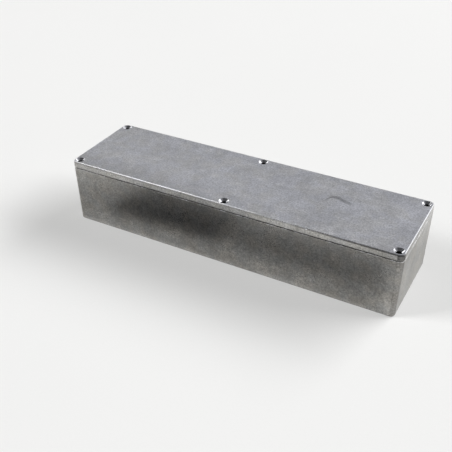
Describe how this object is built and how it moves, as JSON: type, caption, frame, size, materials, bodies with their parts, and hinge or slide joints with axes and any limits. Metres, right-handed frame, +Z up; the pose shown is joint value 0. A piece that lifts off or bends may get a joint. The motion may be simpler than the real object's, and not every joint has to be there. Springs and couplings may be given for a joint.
{
  "type": "die cast aluminium enclosure",
  "caption": "Long rectangular die cast aluminium box with drafted, rounded walls and a flat lid whose countersunk holes take the screws that close it.",
  "frame": {"origin": "middle of the underside, on the surface that the box stands on", "axes": "+X along the length, +Y across the width, +Z up through the lid"},
  "size_m": [0.254, 0.0694, 0.0505],
  "materials": {
    "box_casting": "tumbled as-cast satin",
    "lid_casting": "tumbled as-cast satin with bright machined countersinks"
  },
  "bodies": {
    "root": {"box": "box_casting", "lid": "lid_casting"}
  },
  "joints": []
}
